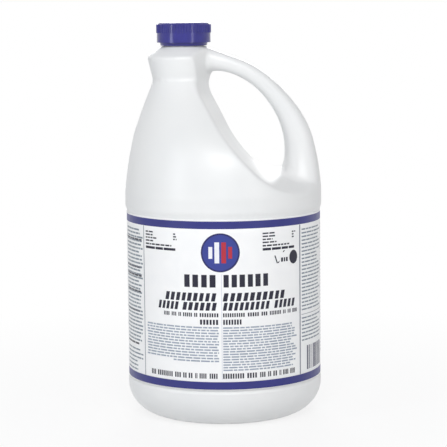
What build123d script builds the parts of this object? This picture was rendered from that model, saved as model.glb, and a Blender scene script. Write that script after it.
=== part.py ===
from build123d import *
from math import cos, hypot, radians, sin
import os

# Handled one-gallon bleach bottle with its screw cap, liner and wrap-around label.
# Millimetres, +Z up.  The origin is the centre of the base, on the axis of the
# round body.  The pouring neck stands off to -X, the hollow grip arches over to
# +X, and the bottle is the same on both sides of the XZ plane, where its mould
# parts.

# ------------------------------------------------------------------ bottle body
WALL = 0.9                  # blow-moulded wall
BASE_R = 77.2               # round body below the label
HEEL_R = 26.7               # how far the rounded heel reaches in
HEEL_Z = 25.7               # and up
DISH_R = 41.7               # inner edge of the standing ring
DISH_Z = 5.0                # how far the middle of the base is pushed up
DISH_MID_R = 23.0           # a point halfway up the dish
DISH_MID_Z = 3.5
STEP = 1.5                  # height of the slopes beside the label's panel
SHOULDER_R = 77.9           # widest place, above the label
SHOULDER_Z = 177.1          # where the shoulder starts to close in

# Shoulder and waist: height, reach to -X, radius of the round section there
SHOULDER = [
    (SHOULDER_Z, 77.9, SHOULDER_R),
    (185.2, 77.0, 77.0),
    (194.2, 75.9, 75.8),
    (207.4, 73.7, 72.6),
    (222.6, 70.3, 63.3),
    (237.8, 65.2, 49.1),
    (249.9, 60.6, 37.8),
    (258.0, 57.2, 31.0),
]

# ------------------------------------------------------------------ label
LABEL_T = 0.15              # film
GLUE = 0.05                 # glue line behind it
LABEL_R = 76.9              # its outside
LABEL_BOTTOM = 30.6
LABEL_TOP = 162.7
LABEL_SEAM = 0.6            # gap between its two ends, at the back
LABEL_EDGE = 1.0            # bare panel above and below it

# ------------------------------------------------------------------ collar, neck
NECK_X = -30.0              # neck's axis
WAIST_Z = 266.2             # narrowest place, under the collar
WAIST_R = 24.8
COLLAR_Z = 283.3            # widest place of the collar
COLLAR_R = 28.9
COLLAR_ROUND = 2.5          # radius of the collar's upper edge
WAIST_ROUND = 4.0           # radius in the waist
CONE_Z = 291.8              # where the collar's slope meets the neck
CONE_R = 17.9
NECK_R = 16.0               # neck at the bottom of its thread
NECK_SINK = 2.0             # how far the neck starts down in the collar
NECK_BORE_R = 14.4
RIM_Z = 307.1               # pouring rim
RIM_ROUND = 0.5

# ------------------------------------------------------------------ grip
# Sections of the grip from its root in the collar to its root in the shoulder:
# x, z, width in the XZ plane, width across it, and the way it runs (degrees)
GRIP = [
    (-20.8, 280.7, 12.9, 21.8, -4.0),
    (-8.9, 280.6, 17.9, 26.8, -10.0),
    (3.6, 278.2, 13.3, 27.8, -17.0),
    (14.7, 274.2, 12.9, 27.8, -25.0),
    (29.1, 265.3, 13.2, 27.8, -38.0),
    (43.7, 250.4, 15.3, 28.3, -50.0),
    (53.0, 236.3, 18.4, 29.8, -59.0),
    (59.7, 218.0, 22.6, 33.7, -71.0),
    (62.1, 198.4, 28.8, 41.7, -82.0),
    (61.5, 174.6, 31.7, 55.6, -90.0),
]
GRIP_ROUND = 0.45           # corner radius over the section's width
# Back of the grip in the XZ plane (x, z), from the shoulder up.  Turned about
# the body's axis it carries the round of the shoulder up into the grip.
GRIP_BACK = [(SHOULDER_R, SHOULDER_Z), (76.6, 194.0), (73.6, 211.0), (68.6, 230.0), (61.0, 250.0)]
GRIP_BACK_ENDS = [(0, 1), (-0.45, 1)]       # the ways the line runs at its ends
GRIP_BACK_LOW = 150.0
GRIP_BACK_SIDE = 110.0

# ------------------------------------------------------------------ finger hole
# Both pockets beside the grip are pulled out sideways, so each is one slanting
# wall between a line in the XZ plane and a line POCKET_Y away from it (x, z).
POCKET_Y = 81.3
POCKET_INNER = [
    (-2.0, 288.7), (-6.0, 274.8), (-10.3, 263.9), (-3.5, 245.0), (6.2, 225.5), (17.5, 209.5),
    (28.0, 199.7), (39.5, 195.3), (51.0, 193.5), (61.0, 192.2), (70.0, 193.2), (80.0, 197.5),
]
POCKET_OUTER = [
    (-65.5, 288.7), (-51.6, 273.8), (-31.5, 256.3), (-14.5, 240.2), (0.3, 222.1), (14.1, 206.6),
    (24.9, 195.0), (36.6, 184.7), (48.1, 177.0), (58.6, 171.8), (70.0, 169.0), (84.0, 168.5),
]
POCKET_TOP = 330.0          # both pockets are open above
POCKET_SIDE = 120.0         # and beyond the grip
POCKET_ROUND = 3.5          # radius along the wall's outer edge

# ------------------------------------------------------------------ thread
PITCH = 4.233               # six turns to the inch
THREAD_DEPTH = 1.1
THREAD_FOOT = 2.0           # width of the ridge where it leaves its wall
THREAD_CREST = 0.8          # width of the ridge at its crest
THREAD_SINK = 0.2           # how far the ridge starts inside its wall
NECK_TURNS = 1.25
CAP_TURNS = 1.0
LEAD_IN = 0.25              # turns by which the cap's thread starts lower
FLANK_GAP = 0.2             # between the flanks that bear when the cap is tight
THREAD_TOP = 2.6            # rim down to the upper end of the neck's thread
RUN = 0.3                   # clearance between the cap and the neck

# ------------------------------------------------------------------ cap, liner
CAP_R = 21.6                # over the ribs
CAP_SKIRT_Z = 294.8         # lower edge of the outer skirt
CAP_TOP_T = 1.5             # top panel
CAP_WALL = 1.2              # outer skirt, under the ribs
CAP_ROUND = 1.2             # upper edge
RIB_Z = 302.3               # lower end of the ribs
RIBS = 64
RIB_DEPTH = 0.45
SLEEVE_Z = 292.3            # lower edge of the threaded sleeve
SLEEVE_WALL = 1.3
SLEEVE_LIP = 0.5            # how far the sleeve's lower edge is drawn in outside
SLEEVE_LIP_Z = 2.0          # and over what height
LINER_T = 1.5               # foam disc between the rim and the cap
LINER_GAP = 0.2             # around the disc

# ------------------------------------------------------------------ solids
# The blown bottle is given as six solids that meet face to face: the base, the
# straight wall, the shoulder, the collar, the neck and the grip.
BASE_TOP = 40.0             # both of these cuts lie behind the label
WALL_TOP = 150.0
GRIP_STUB = 3.0             # the grip is cut off this far from the pocket's wall

PANEL_R = LABEL_R - LABEL_T - GLUE
THREAD_LOW = RIM_Z - THREAD_TOP - NECK_TURNS * PITCH


def spin(outline, axis_x=0.0):
    """A closed outline of (radius, z) lines turned about an upright axis."""
    face = make_face(outline)
    return Pos(axis_x, 0, 0) * revolve(Plane.XZ * face, Axis.Z)


def lower_body(inset):
    """Base, heel, label panel and lower shoulder, smaller by inset."""
    heel_x = BASE_R - HEEL_R
    panel_low = LABEL_BOTTOM - LABEL_EDGE
    panel_high = LABEL_TOP + LABEL_EDGE
    dish = ThreePointArc((0, DISH_Z + inset), (DISH_MID_R, DISH_MID_Z + inset), (DISH_R, inset))
    ring = Line((DISH_R, inset), (heel_x, inset))
    heel = EllipticalCenterArc((heel_x, HEEL_Z), HEEL_R - inset, HEEL_Z - inset, start_angle=270, arc_size=90)
    side = Polyline(
        (BASE_R - inset, HEEL_Z),
        (BASE_R - inset, panel_low - STEP),
        (PANEL_R - inset, panel_low),
        (PANEL_R - inset, panel_high),
        (SHOULDER_R - inset, panel_high + 2 * STEP),
        (SHOULDER_R - inset, SHOULDER_Z),
        (0, SHOULDER_Z),
        (0, DISH_Z + inset),
    )
    return spin([dish, ring, heel, side])


def shoulder(inset):
    """The round body closing in towards the waist, over to -X."""
    rounds = [(z, radius - reach, radius) for z, reach, radius in SHOULDER]
    rounds.append((WAIST_Z, NECK_X, WAIST_R))
    return loft([Pos(x, 0, z) * Circle(radius - inset) for z, x, radius in rounds])


def collar(inset):
    """Flared collar between the waist and the neck."""
    outline = Polyline(
        (0, WAIST_Z),
        (WAIST_R - inset, WAIST_Z),
        (COLLAR_R - inset, COLLAR_Z),
        (CONE_R - inset, CONE_Z - inset),
        (0, CONE_Z - inset),
        close=True,
    )
    return spin(outline, NECK_X)


def pocket_line(points, y, grow):
    """Closed outline of a pocket at depth y, its wall moved out by grow."""
    moved = []
    for i, (x, z) in enumerate(points):
        x0, z0 = points[max(i - 1, 0)]
        x1, z1 = points[min(i + 1, len(points) - 1)]
        size = hypot(x1 - x0, z1 - z0)
        moved.append((x + grow * (z1 - z0) / size, y, z - grow * (x1 - x0) / size))
    x_low, _, _ = moved[0]
    x_end, _, z_end = moved[-1]
    return Wire([
        Spline(moved),
        Line((x_end, y, z_end), (POCKET_SIDE, y, z_end)),
        Line((POCKET_SIDE, y, z_end), (POCKET_SIDE, y, POCKET_TOP)),
        Line((POCKET_SIDE, y, POCKET_TOP), (x_low, y, POCKET_TOP)),
        Line((x_low, y, POCKET_TOP), moved[0]),
    ])


def pockets(inset):
    """Everything beside the grip and through the finger hole."""
    outer = pocket_line(POCKET_OUTER, -POCKET_Y, inset)
    inner = pocket_line(POCKET_INNER, 0, inset)
    front = Solid.make_loft([outer, inner], ruled=True)
    return front + mirror(front, Plane.XZ)


def grip(inset):
    """The arched grip, sunk into the collar and the shoulder at its roots."""
    sections = []
    for x, z, width, across, run in GRIP:
        plane = Plane(
            origin=(x, 0, z),
            x_dir=(0, 1, 0),
            z_dir=(cos(radians(run)), 0, sin(radians(run))),
        )
        corner = GRIP_ROUND * width - inset
        sections.append(plane * RectangleRounded(across - 2 * inset, width - 2 * inset, corner))
    return loft(sections) - beyond_back(inset)


def beyond_back(inset):
    """Everything outside the turned line of the grip's back."""
    line = [(x - inset, z) for x, z in GRIP_BACK]
    x_foot, _ = line[0]
    _, z_end = line[-1]
    return spin([
        Polyline((x_foot, SHOULDER_Z), (x_foot, GRIP_BACK_LOW), (GRIP_BACK_SIDE, GRIP_BACK_LOW),
                 (GRIP_BACK_SIDE, z_end), line[-1]),
        Spline(line, tangents=GRIP_BACK_ENDS),
    ])


def shoulder_and_collar(inset):
    """The closed-in top of the body with the pockets cut out of it."""
    top = shoulder(inset) + collar(inset)
    top = fillet(rings(top, COLLAR_Z), COLLAR_ROUND - inset)
    top = fillet(rings(top, WAIST_Z), WAIST_ROUND + inset)
    top -= pockets(inset)
    return fillet(pocket_edges(top), POCKET_ROUND - inset)


def rings(shape, height):
    """The edges that run round the shape at one height."""
    return [edge for edge in shape.edges() if abs(edge.center().Z - height) < 0.1]


def pocket_edges(shape):
    """The outer edges of both pocket walls: steep edges off the XZ plane."""
    chosen = []
    for edge in shape.edges():
        box = edge.bounding_box()
        off_plane = abs(edge.center().Y) > COLLAR_R / 4
        if off_plane and box.size.Z > WALL and box.min.Z > SHOULDER_Z and box.min.X > NECK_X - CONE_R:
            chosen.append(edge)
    return chosen


def jug(inset):
    """The whole blown shape, smaller by inset."""
    return lower_body(inset) + shoulder_and_collar(inset) + grip(inset)


def thread(radius, reach, low, turns, start):
    """A right-hand ridge that climbs an upright wall, sunk a little into it.

    reach is +1 for a ridge that stands out of the wall and -1 for one that
    stands into the bore.  The ridge starts at height low and angle start.
    """
    foot, crest = THREAD_FOOT / 2, THREAD_CREST / 2
    outline = Polyline(
        (radius - reach * THREAD_SINK, 0, low - foot),
        (radius - reach * THREAD_SINK, 0, low + foot),
        (radius + reach * THREAD_DEPTH, 0, low + crest),
        (radius + reach * THREAD_DEPTH, 0, low - crest),
        close=True,
    )
    path = Helix(PITCH, turns * PITCH, radius, center=(0, 0, low))
    ridge = sweep(make_face(outline), path=path, is_frenet=True)
    return Pos(NECK_X, 0, 0) * Rot(0, 0, start) * ridge


def between(shape, low, high):
    """The part of a shape between two heights."""
    side = 4 * SHOULDER_R
    return shape & Pos(0, 0, low) * Box(side, side, high - low, align=(Align.CENTER, Align.CENTER, Align.MIN))


def bottle():
    """The blown bottle's solids by name: hollow, one wall thick, open at the rim."""
    neck_foot = CONE_Z - NECK_SINK
    neck = Cylinder(NECK_R, RIM_Z - neck_foot, align=(Align.CENTER, Align.CENTER, Align.MIN))
    bore = Cylinder(NECK_BORE_R, RIM_Z - WAIST_Z, align=(Align.CENTER, Align.CENTER, Align.MIN))
    shell = jug(0) + Pos(NECK_X, 0, neck_foot) * neck
    shell -= jug(WALL)
    shell -= Pos(NECK_X, 0, WAIST_Z) * bore
    shell = fillet(rings(shell, RIM_Z), RIM_ROUND)
    beside_grip = pockets(-GRIP_STUB)
    rest = shell - beside_grip
    return {
        "base": between(rest, 0, BASE_TOP),
        "wall": between(rest, BASE_TOP, WALL_TOP),
        "shoulder": between(rest, WALL_TOP, WAIST_Z),
        "collar": between(rest, WAIST_Z, CONE_Z),
        "neck": between(rest, CONE_Z, RIM_Z) + thread(NECK_R, 1, THREAD_LOW, NECK_TURNS, 0),
        "grip": shell & beside_grip,
    }


def screw_cap():
    """Outer skirt with ribs, and the threaded sleeve that hangs inside it."""
    under = RIM_Z + LINER_T
    top = under + CAP_TOP_T
    outer_r = CAP_R - RIB_DEPTH
    sleeve_in = NECK_R + THREAD_DEPTH + RUN
    sleeve_out = sleeve_in + SLEEVE_WALL
    outline = Polyline(
        (0, under),
        (sleeve_in, under),
        (sleeve_in, SLEEVE_Z),
        (sleeve_out - SLEEVE_LIP, SLEEVE_Z),
        (sleeve_out, SLEEVE_Z + SLEEVE_LIP_Z),
        (sleeve_out, under),
        (outer_r - CAP_WALL, under),
        (outer_r - CAP_WALL, CAP_SKIRT_Z),
        (outer_r, CAP_SKIRT_Z),
        (outer_r, top - CAP_ROUND),
        (outer_r - CAP_ROUND, top),
        (0, top),
        close=True,
    )
    cap = spin(outline, NECK_X) + ribs(outer_r, top - CAP_ROUND)
    below = (THREAD_FOOT + THREAD_CREST) / 2 + FLANK_GAP + LEAD_IN * PITCH
    return cap + thread(sleeve_in, -1, THREAD_LOW - below, CAP_TURNS, -360 * LEAD_IN)


def ribs(radius, top):
    """Upright grip ribs round the upper part of the skirt."""
    rib = Circle(RIB_DEPTH)
    ring = Circle(radius) - Circle(radius - CAP_WALL / 2) + PolarLocations(radius, RIBS) * rib
    return Pos(NECK_X, 0, RIB_Z) * extrude(ring, top - RIB_Z)


def liner():
    """Foam disc that the cap presses on the rim."""
    radius = NECK_R + THREAD_DEPTH + RUN - LINER_GAP
    disc = Cylinder(radius, LINER_T, align=(Align.CENTER, Align.CENTER, Align.MIN))
    return Pos(NECK_X, 0, RIM_Z) * disc


def label():
    """Film wrapped round the panel, its ends a seam's width apart at the back."""
    height = LABEL_TOP - LABEL_BOTTOM
    tube = Cylinder(LABEL_R, height, align=(Align.CENTER, Align.CENTER, Align.MIN))
    tube -= Cylinder(LABEL_R - LABEL_T, height, align=(Align.CENTER, Align.CENTER, Align.MIN))
    seam = Box(LABEL_SEAM, LABEL_R, height, align=(Align.CENTER, Align.MIN, Align.MIN))
    return Pos(0, 0, LABEL_BOTTOM) * (tube - seam)


if __name__ == "__main__":
    os.makedirs("parts", exist_ok=True)
    nodes = bottle()
    nodes["screw_cap"] = screw_cap()
    nodes["cap_liner"] = liner()
    nodes["label"] = label()
    for name, shape in nodes.items():
        export_step(shape, f"parts/{name}.step")
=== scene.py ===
import bpy, bmesh, random
from math import radians, degrees, sin, cos, pi, ceil
import numpy as np
from mathutils import Vector, Matrix, Euler
from mathutils.bvhtree import BVHTree


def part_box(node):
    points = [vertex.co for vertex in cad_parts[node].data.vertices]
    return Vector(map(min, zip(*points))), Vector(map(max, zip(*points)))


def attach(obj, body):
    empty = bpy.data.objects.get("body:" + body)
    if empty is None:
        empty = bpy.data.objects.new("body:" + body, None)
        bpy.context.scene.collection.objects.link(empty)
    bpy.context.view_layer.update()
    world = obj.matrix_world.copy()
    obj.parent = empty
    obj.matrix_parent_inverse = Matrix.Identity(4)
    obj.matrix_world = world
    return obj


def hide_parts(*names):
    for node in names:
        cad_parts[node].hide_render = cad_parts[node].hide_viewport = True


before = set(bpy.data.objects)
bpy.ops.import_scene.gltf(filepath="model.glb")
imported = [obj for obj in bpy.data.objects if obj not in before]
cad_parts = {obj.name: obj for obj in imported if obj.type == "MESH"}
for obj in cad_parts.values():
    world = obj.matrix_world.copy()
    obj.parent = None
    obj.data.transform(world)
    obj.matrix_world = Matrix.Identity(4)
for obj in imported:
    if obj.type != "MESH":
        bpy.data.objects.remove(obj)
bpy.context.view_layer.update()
random.seed(7)
MM = 0.001


# ---------------------------------------------------------------- node helpers
def srgb(r, g, b):
    """Linear colour of an 8-bit screen colour."""
    out = []
    for c in (r, g, b):
        c /= 255
        out.append(c / 12.92 if c <= 0.04045 else ((c + 0.055) / 1.055) ** 2.4)
    return (*out, 1.0)


class Nodes:
    """Short ways to add and join the nodes of one tree."""

    def __init__(self, tree):
        self.nodes = tree.nodes
        self.links = tree.links

    def join(self, value, socket):
        if isinstance(value, bpy.types.NodeSocket):
            self.links.new(value, socket)
        else:
            socket.default_value = value

    def maths(self, kind, a, b=0.0):
        n = self.nodes.new("ShaderNodeMath")
        n.operation = kind
        self.join(a, n.inputs[0])
        self.join(b, n.inputs[1])
        return n.outputs[0]

    def span(self, value, low, high, to_low, to_high):
        """Maps low..high to to_low..to_high and stops at both ends."""
        n = self.nodes.new("ShaderNodeMapRange")
        self.join(value, n.inputs["Value"])
        ends = {"From Min": low, "From Max": high, "To Min": to_low, "To Max": to_high}
        for socket, end in ends.items():
            n.inputs[socket].default_value = end
        return n.outputs["Result"]


class Tree(Nodes):
    """The nodes of a new material for one of the object's plastics."""

    def __init__(self, name):
        self.mat = bpy.data.materials.new(name)
        self.mat.use_nodes = True
        super().__init__(self.mat.node_tree)
        self.shader = self.nodes["Principled BSDF"]
        self.where = self.nodes.new("ShaderNodeTexCoord").outputs["Object"]

    def noise(self, scale, detail=3.0, rough=0.5, stretch=None):
        n = self.nodes.new("ShaderNodeTexNoise")
        n.inputs["Scale"].default_value = scale
        n.inputs["Detail"].default_value = detail
        n.inputs["Roughness"].default_value = rough
        place = self.where
        if stretch:
            m = self.nodes.new("ShaderNodeMapping")
            m.inputs["Scale"].default_value = stretch
            self.links.new(self.where, m.inputs["Vector"])
            place = m.outputs[0]
        self.links.new(place, n.inputs["Vector"])
        return n.outputs["Fac"]

    def mix(self, factor, a, b):
        n = self.nodes.new("ShaderNodeMix")
        n.data_type = "RGBA"
        self.join(factor, n.inputs["Factor"])
        self.join(a, n.inputs["A"])
        self.join(b, n.inputs["B"])
        return n.outputs["Result"]

    def axis(self, name):
        n = self.nodes.new("ShaderNodeSeparateXYZ")
        self.links.new(self.where, n.inputs[0])
        return n.outputs[name]

    def bump(self, height, distance, strength=1.0, normal=None):
        n = self.nodes.new("ShaderNodeBump")
        n.inputs["Distance"].default_value = distance
        n.inputs["Strength"].default_value = strength
        self.join(height, n.inputs["Height"])
        if normal is not None:
            self.links.new(normal, n.inputs["Normal"])
        return n.outputs["Normal"]

    def finish(self, colour, rough, normal):
        self.join(colour, self.shader.inputs["Base Color"])
        self.join(rough, self.shader.inputs["Roughness"])
        self.shader.inputs["IOR"].default_value = 1.5
        self.links.new(normal, self.shader.inputs["Normal"])
        return self.mat


# ---------------------------------------------------------------- materials
def polyethylene():
    """Satin white blown plastic: faint clouding, fine mould texture, parting line."""
    t = Tree("white_hdpe")
    cloud = t.span(t.noise(14, 2), 0.35, 0.65, 0, 1)
    colour = t.mix(cloud, (0.80, 0.81, 0.815, 1), (0.835, 0.84, 0.84, 1))
    rough = t.span(t.noise(60, 3), 0.3, 0.7, 0.32, 0.39)
    waves = t.bump(t.noise(70, 2), 0.0004, 0.35)
    grain = t.bump(t.noise(1500, 2, 0.6), 0.00006, 0.4, waves)
    from_parting = t.maths("ABSOLUTE", t.axis("Y"))
    line = t.span(from_parting, 0.0001, 0.0005, 1, 0)
    return t.finish(colour, rough, t.bump(line, 0.0002, 1.0, grain))


def moulded(name, low, high, rough):
    """Glossy moulded plastic, a little uneven."""
    t = Tree(name)
    colour = t.mix(t.span(t.noise(120, 3), 0.3, 0.7, 0, 1), low, high)
    shine = t.span(t.noise(300, 3), 0.3, 0.7, rough - 0.04, rough + 0.05)
    return t.finish(colour, shine, t.bump(t.noise(500, 2), 0.00005, 0.5))


def foam():
    """Closed-cell foam; the hollows of its cells are painted darker as shade."""
    t = Tree("foam")
    cells = t.nodes.new("ShaderNodeTexVoronoi")
    cells.inputs["Scale"].default_value = 2200
    t.links.new(t.where, cells.inputs["Vector"])
    cell_depth_and_shade = cells.outputs["Distance"]
    # Painted shade: the colour darkens towards each cell's hollow, the same value that bumps the
    # cells
    colour = t.mix(cell_depth_and_shade, (0.7, 0.7, 0.68, 1), (0.82, 0.82, 0.8, 1))
    return t.finish(colour, 0.85, t.bump(cell_depth_and_shade, 0.0001, 0.6))


def film(name, low, high):
    """Smooth printed film: low and high are the ends of its slight unevenness."""
    t = Tree(name)
    colour = t.mix(t.span(t.noise(90, 4), 0.3, 0.7, 0, 1), low, high)
    rough = t.span(t.noise(200, 2), 0.3, 0.7, 0.33, 0.42)
    ripple = t.noise(22, 2, stretch=(1, 1, 0.35))
    return t.finish(colour, rough, t.bump(ripple, 0.0005, 0.3))


def ink(name, rgb, spread=0.06):
    """Printed colour, a little uneven as ink on film is."""
    colour = srgb(*rgb)[:3]
    low, high = [tuple(v * by for v in colour) + (1,) for by in (1 - spread, 1 + spread)]
    return film(name, low, high)


hdpe = polyethylene()
blue = moulded("blue_cap", srgb(38, 37, 122), srgb(46, 45, 134), 0.2)
plastics = {"base": hdpe, "wall": hdpe, "neck": hdpe, "screw_cap": blue, "cap_liner": foam()}
for node, mat in plastics.items():
    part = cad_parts[node]
    part.data.materials.clear()
    part.data.materials.append(mat)


def to_piece(name, bm, mat):
    """A smooth-shaded object with one material, made of a bmesh that it uses up."""
    mesh = bpy.data.meshes.new(name)
    bm.to_mesh(mesh)
    bm.free()
    mesh.materials.append(mat)
    mesh.polygons.foreach_set("use_smooth", [True] * len(mesh.polygons))
    piece = bpy.data.objects.new(name, mesh)
    bpy.context.scene.collection.objects.link(piece)
    return piece


# ---------------------------------------------------------------- upper bottle
# The shoulder, collar and grip are one blown skin: their outer faces are joined,
# remeshed evenly and smoothed, most of all where the grip grows out of the shoulder.
SKIN_NODES = (                    # each node, and the nodes that it meets
    ("shoulder", ("wall", "collar", "grip")),
    ("collar", ("shoulder", "neck", "grip")),
    ("grip", ("shoulder", "collar")),
)
WELD = 2e-6                       # vertices this near are one
MEET = 0.00003                    # a face this near a neighbour lies on it
OPPOSED = -0.9                    # cosine between two faces that look at each other
EDGE = 1e-5                       # how far to stay inside a limit
LOWER_END_R = 0.0768              # the discs that close the skin below and above
UPPER_END_R = 0.0179
NECK_R = 0.0171                   # over the thread, from the neck's edge to its axis
END_STEPS = 180
VOXEL = 0.00125
EVEN_STEPS = 25                   # shrink and grow again, so the form keeps its size
SHRINK, GROW = 0.5, -0.52
ROOT_AT = (0.060, 0, 0.197)       # middle of the grip's root
ROOT_STRETCH = (1, 1, 1.5)        # its reach is shorter in height
ROOT_R, ROOT_FADE = 0.036, 0.014
ROOT_LOW, ROOT_LOW_FADE = 0.176, 0.008
ROOT_STEPS = 70


def outer_faces(node, neighbours, top):
    """Outer skin of one hollow CAD node, without the faces where it meets others."""
    bm = bmesh.new()
    bm.from_mesh(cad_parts[node].data)
    bmesh.ops.remove_doubles(bm, verts=bm.verts, dist=WELD)
    trees = []
    for other in neighbours:
        mesh = bmesh.new()
        mesh.from_mesh(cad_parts[other].data)
        trees.append(BVHTree.FromBMesh(mesh))
        mesh.free()
    met = []
    for face in bm.faces:
        middle = face.calc_center_median()
        facing = [tree.find_nearest(middle, MEET)[1] for tree in trees]
        if middle.z > top or any(n is not None and n.dot(face.normal) < OPPOSED for n in facing):
            met.append(face)
    bmesh.ops.delete(bm, geom=met, context="FACES")
    # Of the shells that are left, the outer one reaches furthest along X
    left, best, reach = set(bm.faces), set(), 0
    while left:
        group, edge = set(), [left.pop()]
        while edge:
            face = edge.pop()
            group.add(face)
            for e in face.edges:
                for beside in e.link_faces:
                    if beside in left:
                        left.discard(beside)
                        edge.append(beside)
        xs = [v.co.x for f in group for v in f.verts]
        if max(xs) - min(xs) > reach:
            best, reach = group, max(xs) - min(xs)
    bmesh.ops.delete(bm, geom=[f for f in bm.faces if f not in best], context="FACES")
    return bm


def relax(points, pairs, amount, weight=None):
    """One smoothing step: each point moves towards the mean of its neighbours."""
    total = np.zeros_like(points)
    count = np.bincount(pairs.ravel(), minlength=len(points)).astype(float)
    for a, b in ((0, 1), (1, 0)):
        for k in range(3):
            total[:, k] += np.bincount(pairs[:, a], points[pairs[:, b], k], len(points))
    step = amount * (total / np.maximum(count, 1)[:, None] - points)
    return points + (step if weight is None else step * weight[:, None])


def smoothed(points, pairs):
    """Evens out the remeshed skin, blends the grip's root and keeps the CAD's radius."""
    for _ in range(EVEN_STEPS):
        points = relax(points, pairs, SHRINK)
        points = relax(points, pairs, GROW)
    away = np.linalg.norm((points - np.array(ROOT_AT)) * ROOT_STRETCH, axis=1)
    weight = np.clip((ROOT_R - away) / ROOT_FADE, 0, 1)
    weight *= np.clip((points[:, 2] - ROOT_LOW) / ROOT_LOW_FADE, 0, 1)
    for _ in range(ROOT_STEPS):
        points = relax(points, pairs, 0.5, weight)
    across = np.hypot(points[:, 0], points[:, 1])
    limit = -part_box("shoulder")[0].x - EDGE
    points[:, :2] *= np.minimum(1, limit / np.maximum(across, 1e-6))[:, None]
    return points


def upper_bottle():
    """The piece that stands for the shoulder, the collar and the grip."""
    low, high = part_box("shoulder")[0].z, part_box("collar")[1].z
    joined = bmesh.new()
    for node, neighbours in SKIN_NODES:
        skin = outer_faces(node, neighbours, high - EDGE)
        mesh = bpy.data.meshes.new("skin")
        skin.to_mesh(mesh)
        skin.free()
        joined.from_mesh(mesh)
        bpy.data.meshes.remove(mesh)
    for z, x, radius in ((low, 0, LOWER_END_R), (high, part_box("neck")[0].x + NECK_R, UPPER_END_R)):
        turns = [2 * pi * i / END_STEPS for i in range(END_STEPS)]
        joined.faces.new([joined.verts.new((x + radius * cos(t), radius * sin(t), z)) for t in turns])
    top = to_piece("bottle_top", joined, hdpe)
    remesh = top.modifiers.new("remesh", "REMESH")
    remesh.mode = "VOXEL"
    remesh.voxel_size = VOXEL
    even = bpy.data.meshes.new_from_object(top.evaluated_get(bpy.context.evaluated_depsgraph_get()))
    top.modifiers.clear()
    top.data = even
    points = np.zeros(len(even.vertices) * 3)
    even.vertices.foreach_get("co", points)
    pairs = np.zeros(len(even.edges) * 2, int)
    even.edges.foreach_get("vertices", pairs)
    points = smoothed(points.reshape(-1, 3), pairs.reshape(-1, 2))
    even.vertices.foreach_set("co", points.ravel())
    even.materials.clear()
    even.materials.append(hdpe)
    even.polygons.foreach_set("use_smooth", [True] * len(even.polygons))
    even.update()
    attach(top, "bottle")
    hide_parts("shoulder", "collar", "grip")


upper_bottle()

# ---------------------------------------------------------------- label
label_low, label_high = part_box("label")
LABEL_R = label_high.x
LABEL_LOW, LABEL_HIGH = label_low.z, label_high.z
FILM_T = 0.00015
SEAM = degrees(0.0003 / LABEL_R)  # from the middle of the seam to the film's end
FILM_STEPS, FILM_ROWS = 240, 12
PRINT_LIFT = 0.00003              # of the print over the film
SECOND_LIFT = 0.00006             # of print on top of print
PATCH = 1.5                       # widest flat patch, in degrees
DISC_RING = 2                     # widest ring of a disc, in mm
DISC_STEPS = 48
WORD_GAP, WORD_TRIM = 0.32, 0.08  # parts of the room for one block: gap, uneven start
LINE_GAP = 0.55                   # between the bars of small print, in degrees
LINE_LEAST = 0.5                  # no bar starts nearer than this to a line's end


def at(angle, z, radius=LABEL_R):
    """A point of the label: degrees round from the front, to +X, and height."""
    a = radians(angle)
    return Vector((radius * sin(a), -radius * cos(a), z))


def film_mesh():
    """The wrapped film: a closed thin tube with its seam at the back."""
    bm = bmesh.new()
    steps, rows = FILM_STEPS, FILM_ROWS
    heights = [LABEL_LOW + (LABEL_HIGH - LABEL_LOW) * j / rows for j in range(rows + 1)]
    grids = []
    for radius in (LABEL_R, LABEL_R - FILM_T):
        grid = []
        for i in range(steps + 1):
            a = -180 + SEAM + (360 - 2 * SEAM) * i / steps
            grid.append([bm.verts.new(at(a, z, radius)) for z in heights])
        grids.append(grid)
    outer, inner = grids
    for i in range(steps):
        for j in range(rows):
            bm.faces.new((outer[i][j], outer[i + 1][j], outer[i + 1][j + 1], outer[i][j + 1]))
            bm.faces.new((inner[i][j + 1], inner[i + 1][j + 1], inner[i + 1][j], inner[i][j]))
        bm.faces.new((inner[i][0], inner[i + 1][0], outer[i + 1][0], outer[i][0]))
        bm.faces.new((outer[i][rows], outer[i + 1][rows], inner[i + 1][rows], inner[i][rows]))
    for i in (0, steps):
        for j in range(rows):
            bm.faces.new((outer[i][j], outer[i][j + 1], inner[i][j + 1], inner[i][j]))
    bmesh.ops.recalc_face_normals(bm, faces=bm.faces)
    return bm


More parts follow.
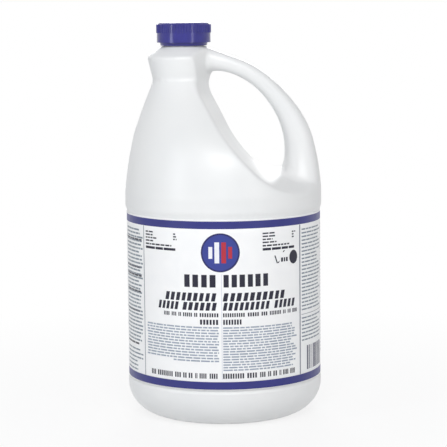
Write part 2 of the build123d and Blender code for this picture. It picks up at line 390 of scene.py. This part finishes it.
class Print:
    """One colour of print: thin curved patches laid on the film.

    Places are angles in degrees and heights in mm, lengths are in mm.
    """

    def __init__(self, name, mat, lift=PRINT_LIFT):
        self.name, self.mat, self.radius = name, mat, LABEL_R + lift
        self.bm = bmesh.new()

    def bar(self, a0, a1, z0, z1, lean=0.0):
        """A patch between two angles and two heights; lean slants it."""
        n = max(1, ceil((a1 - a0) / PATCH))
        shift = degrees(lean * (z1 - z0) * MM / LABEL_R)
        ring = []
        for i in range(n + 1):
            a = a0 + (a1 - a0) * i / n
            ring.append((self.bm.verts.new(at(a, z0 * MM, self.radius)),
                         self.bm.verts.new(at(a + shift, z1 * MM, self.radius))))
        for (p, q), (r, s) in zip(ring, ring[1:]):
            self.bm.faces.new((p, r, s, q))

    def disc(self, a, z, radius, squash=1.0, inner=0.0):
        """A disc or, with an inner radius, a ring; squash narrows it."""
        rim = []
        per = degrees(MM / LABEL_R)
        rings = max(2, ceil((radius - inner) / DISC_RING))
        for i in range(DISC_STEPS + 1):
            t = radians(360 * i / DISC_STEPS)
            row = []
            for k in range(rings + 1):
                r = inner + (radius - inner) * k / rings
                point = at(a + r * squash * cos(t) * per, (z + r * sin(t)) * MM, self.radius)
                row.append(self.bm.verts.new(point))
            rim.append(row)
        for p, q in zip(rim, rim[1:]):
            for k in range(rings):
                self.bm.faces.new((p[k], p[k + 1], q[k + 1], q[k]))

    def word(self, a0, a1, z0, z1, letters, lean=0.0):
        """A word stood in for by plain blocks in a row."""
        step = (a1 - a0) / letters
        for i in range(letters):
            trim = random.uniform(0, WORD_TRIM) * step
            self.bar(a0 + i * step + trim, a0 + (i + 1) * step - WORD_GAP * step, z0, z1, lean)

    def lines(self, a0, a1, top, pitch, count, height, words=(1.5, 5.5), ragged=0.0,
              flush="left", last=None):
        """Small print stood in for by bars; last gives the ends of the last line."""
        for row in range(count):
            left, right = a0, a1
            if last is not None and row == count - 1:
                left, right = last
            slack = random.uniform(0, ragged)
            if flush == "left":
                right -= slack
            else:
                left += slack
            z = top - row * pitch
            a = left
            while a < right - LINE_LEAST:
                b = min(a + random.uniform(*words), right)
                self.bar(a, b, z - height, z)
                a = b + LINE_GAP

    def done(self):
        bmesh.ops.remove_doubles(self.bm, verts=self.bm.verts, dist=1e-7)
        piece = to_piece(self.name, self.bm, self.mat)
        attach(piece, "bottle")


white_film = film("label_white", (0.90, 0.905, 0.915, 1), (0.93, 0.932, 0.936, 1))
label = to_piece("label_film", film_mesh(), white_film)
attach(label, "bottle")
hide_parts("label")

# Words in blocks: angles from and to, heights from and to, blocks, lean
WORDS = (
    (-23.3, -3.2, 111.0, 120.6, 4, 0),
    (-0.5, 27.3, 111.0, 120.6, 6, 0),
    (-35.9, -4.2, 100.3, 106.6, 9, 0.2),
    (-1.0, 37.5, 100.3, 106.6, 10, 0.2),
    (-41.2, -26.8, 93.2, 99.3, 5, 0.2),
    (-24.6, -4.0, 93.2, 99.3, 6, 0.2),
    (-1.0, 27.0, 93.2, 99.3, 9, 0.2),
    (29.6, 45.0, 93.2, 99.3, 5, 0.2),
    (-14.0, -3.0, 82.3, 86.2, 6, 0),
    (-0.8, 10.2, 82.3, 86.2, 7, 0),
)
# Two rows of smaller words: heights from and to, then each word's angles and blocks
WORD_ROWS = (
    (88.2, 91.2, (
        (-37.0, -32.8, 4), (-31.6, -28.2, 3), (-27.2, -25.2, 2), (-24.2, -18.4, 5),
        (-17.4, -15.2, 2), (-14.2, -3.0, 8), (-0.8, 12.0, 10), (13.4, 20.4, 5),
        (21.6, 25.6, 3), (26.8, 34.6, 7), (35.8, 38.0, 2), (39.2, 41.8, 3), (42.8, 46.9, 5))),
    (40.6, 44.6, (
        (-47.3, -43.4, 3), (-42.2, -31.0, 8), (-29.8, -25.6, 3), (-24.6, -22.0, 2),
        (-21.2, -18.4, 2), (-17.2, -15.6, 2), (-14.6, -10.2, 4), (-8.8, -3.8, 4),
        (-1.1, 11.4, 9), (12.8, 19.0, 4), (20.4, 24.2, 3), (25.4, 27.8, 2),
        (28.8, 31.8, 2), (33.0, 34.6, 2), (35.6, 39.8, 4), (41.0, 45.0, 4))),
)
# The side panels' small print, as Print.lines takes it
SIDE_LINES = (
    (-80, -54.6, 151.8, 2.9, 31, 1.3, (2, 7), 4),
    (-80, -54.6, 57.0, 3.2, 6, 1.2, (3, 8), 9),
    (51.4, 79, 151.8, 2.85, 23, 1.1, (2, 7), 9),
    (51.4, 79, 82.4, 2.9, 7, 1.1, (2, 7), 9),
    (-122, -82, 151.8, 2.9, 38, 1.2, (2, 7), 8),
    (82, 122, 151.8, 2.85, 23, 1.1, (2, 7), 9),
    (82, 122, 82.4, 2.9, 12, 1.1, (2, 7), 9),
)
BAND_END = 179.7                  # the bands stop short of the seam
PANEL_LOW, PANEL_HIGH = 38.2, 155.3

bands = Print("print_bands", ink("ink_violet_blue", (38, 42, 120)))
bands.bar(-BAND_END, BAND_END, 155.5, 161.3)
bands.bar(-BAND_END, BAND_END, 32.1, 38.0)
bands.done()

rules = Print("print_rules", ink("ink_grey", (112, 116, 132)))
rules.bar(-53.6, -53.05, PANEL_LOW, PANEL_HIGH)
rules.bar(49.2, 50.1, PANEL_LOW, PANEL_HIGH)
rules.bar(51, 130, 84.6, 85.0)
rules.done()
pale = Print("print_centre_rule", ink("ink_pale", (214, 216, 226)))
pale.bar(-1.65, -1.3, 40, 121)
pale.done()

dark = Print("print_dark", ink("ink_navy_black", (14, 12, 40)))
for word in WORDS:
    dark.word(*word)
for z0, z1, words in WORD_ROWS:
    for a0, a1, blocks in words:
        dark.word(a0, a1, z0, z1, blocks)
for a0, a1 in ((-51.3, -28.2), (22.6, 44.6)):      # the two upper corners
    dark.lines(a0, a1 - 13, 151.8, 2.3, 4, 1.1, (1, 4), 4)
    dark.lines(a0, a1 - 3, 142.4, 2.4, 1, 1.2, (1, 3.5))
    dark.lines(a0, a1, 140.0, 2.4, 1, 1.9, (4, 9))
    dark.lines(a1 - 1.8, a1 + 1.6, 151.4, 2.0, 3, 1.1, (1, 2), 1.5)
dark.disc(44.0, 131.2, 5.3, 0.82)                  # a plain spot and two strokes
dark.bar(31.6, 32.4, 127.6, 133.6, -0.35)
dark.bar(32.2, 33.0, 127.6, 137.0, 0.62)
dark.lines(34.6, 39.6, 131.6, 2.0, 1, 3.2, (1, 1.8))
for panel in ((-80, -54.6), (-122, -82)):          # headings of the left side panels
    for top in (144.2, 122.5, 116.0, 103.5, 88.0, 62.0):
        dark.lines(*panel, top, 3, 1, 1.5, (2, 6), 6)
dark.done()

small = Print("print_small", ink("ink_grey_blue", (150, 160, 176)))
small.lines(-51.0, -3.2, 80.6, 2.16, 13, 1.15, ragged=0.8, flush="right", last=(-31, -3.2))
small.lines(-0.8, 46.6, 80.4, 2.04, 17, 1.1, ragged=5)
small.done()

side = Print("print_side", ink("ink_grey_side", (122, 134, 146)))
for block in SIDE_LINES:
    side.lines(*block)
side.done()

# A block of upright stripes of uneven width on the right side panel
stripes = Print("print_stripes", ink("ink_slate", (62, 62, 92)))
a = 56.5
while a < 78:
    wide = random.choice((0.35, 0.6, 0.9, 1.3))
    stripes.bar(a, a + wide, 40.5, 59.5)
    a += wide + random.choice((0.4, 0.7, 1.1))
stripes.done()

# A plain round motif: a ringed disc with four upright bars, pale and red
MOTIF_A, MOTIF_Z = -2.0, 137.5
MOTIF_R, MOTIF_RIM_R = 13.6, 14.9
rim = Print("motif_rim", ink("ink_deep_blue", (30, 30, 92)))
rim.disc(MOTIF_A, MOTIF_Z, MOTIF_RIM_R, inner=MOTIF_R)
rim.done()
ground = Print("motif_ground", ink("ink_mid_blue", (48, 60, 142)))
ground.disc(MOTIF_A, MOTIF_Z, MOTIF_R)
ground.done()
pale_bars = Print("motif_pale", ink("ink_white", (236, 237, 244), 0.01), lift=SECOND_LIFT)
red_bars = Print("motif_red", ink("ink_red", (176, 38, 58)), lift=SECOND_LIFT)
for bars, left, right, reach in ((pale_bars, -9.0, -6.0, 4.5), (pale_bars, -4.4, -0.8, 8.0),
                                 (red_bars, 0.8, 4.4, 8.0), (red_bars, 6.0, 9.0, 4.5)):
    bars.bar(MOTIF_A + degrees(left * MM / LABEL_R), MOTIF_A + degrees(right * MM / LABEL_R),
             MOTIF_Z - reach, MOTIF_Z + reach)
pale_bars.done()
red_bars.done()


# ---------------------------------------------------------------- stage
def seen_apart(t, lit, seen, strength, output):
    """Shows `seen` to the camera and in reflections, and `lit` to all other rays."""
    path = t.nodes.new("ShaderNodeLightPath").outputs
    mirrored = t.maths("MAXIMUM", path["Is Glossy Ray"], path["Is Transmission Ray"])
    direct = t.maths("MAXIMUM", path["Is Camera Ray"], mirrored)
    blend = t.nodes.new("ShaderNodeMixShader")
    t.join(t.maths("MULTIPLY", direct, strength), blend.inputs[0])
    t.join(lit, blend.inputs[1])
    t.join(seen, blend.inputs[2])
    t.join(blend.outputs[0], t.nodes[output].inputs["Surface"])


def white_floor():
    """A matt floor that fades, away from the bottle's foot, into the white behind it."""
    mesh = bpy.data.meshes.new("floor")
    mesh.from_pydata([(-6, -4, 0), (6, -4, 0), (6, 8, 0), (-6, 8, 0)], [], [(0, 1, 2, 3)])
    floor = bpy.data.objects.new("floor", mesh)
    bpy.context.scene.collection.objects.link(floor)
    mat = bpy.data.materials.new("floor")
    mat.use_nodes = True
    t = Nodes(mat.node_tree)
    plain = t.nodes["Principled BSDF"]
    plain.inputs["Base Color"].default_value = (0.9, 0.9, 0.9, 1)
    plain.inputs["Roughness"].default_value = 0.9
    plain.inputs["Specular IOR Level"].default_value = 0.1
    glow = t.nodes.new("ShaderNodeEmission")
    glow.inputs["Strength"].default_value = 1.0
    place = t.nodes.new("ShaderNodeTexCoord")
    length = t.nodes.new("ShaderNodeVectorMath")
    length.operation = "LENGTH"
    t.join(place.outputs["Object"], length.inputs[0])
    fade = t.span(length.outputs["Value"], 0.1, 0.5, 0.82, 1.0)
    seen_apart(t, plain.outputs[0], glow.outputs[0], fade, "Material Output")
    mesh.materials.append(mat)


def studio_world():
    """Weak even light, seen as white."""
    world = bpy.data.worlds.new("studio")
    bpy.context.scene.world = world
    world.use_nodes = True
    t = Nodes(world.node_tree)
    soft = t.nodes["Background"]
    soft.inputs["Color"].default_value = (0.95, 0.97, 1.0, 1)
    soft.inputs["Strength"].default_value = 0.30
    white = t.nodes.new("ShaderNodeBackground")
    white.inputs["Color"].default_value = (1, 1, 1, 1)
    white.inputs["Strength"].default_value = 1.0
    seen_apart(t, soft.outputs[0], white.outputs[0], 1.0, "World Output")


LAMPS_AIM = Vector((0, 0, 0.16))  # about half the bottle's height


def softbox(name, azimuth, height, distance, size, power, tint=(1, 1, 1)):
    """An area lamp that faces the bottle; azimuth is degrees to +X of the camera."""
    lamp = bpy.data.lights.new(name, "AREA")
    lamp.shape = "RECTANGLE"
    lamp.size, lamp.size_y = size
    lamp.energy = power
    lamp.color = tint
    ob = bpy.data.objects.new(name, lamp)
    a = radians(azimuth)
    ob.location = (distance * sin(a), -distance * cos(a), height)
    aim = LAMPS_AIM - ob.location
    ob.rotation_euler = aim.to_track_quat("-Z", "Y").to_euler()
    bpy.context.scene.collection.objects.link(ob)


white_floor()
studio_world()
softbox("key", 0, 1.3, 1.6, (0.9, 1.0), 19.0)
softbox("left", -54, 0.5, 1.3, (0.2, 0.8), 3.0, (0.95, 0.98, 1))
softbox("back", 180, 0.9, 1.7, (0.9, 1.0), 15.0)
softbox("right", 38, 0.5, 1.4, (0.2, 0.8), 1.9, (1, 0.99, 0.97))

# ---------------------------------------------------------------- camera
# Fitted to the photo: place, pitch and roll in degrees, and focal length in mm
CAMERA_AT = (0, -1.4029, 0.3182)
PITCH, ROLL = 83.19, -0.54
cam = bpy.data.cameras.new("camera")
cam.lens = 142.63
cam.sensor_width = 36
camera = bpy.data.objects.new("camera", cam)
camera.matrix_world = (Matrix.Translation(CAMERA_AT)
                       @ Euler((radians(PITCH), 0, 0)).to_matrix().to_4x4()
                       @ Matrix.Rotation(radians(ROLL), 4, "Z"))
bpy.context.scene.collection.objects.link(camera)
bpy.context.scene.camera = camera
bpy.context.scene.view_settings.view_transform = "Standard"
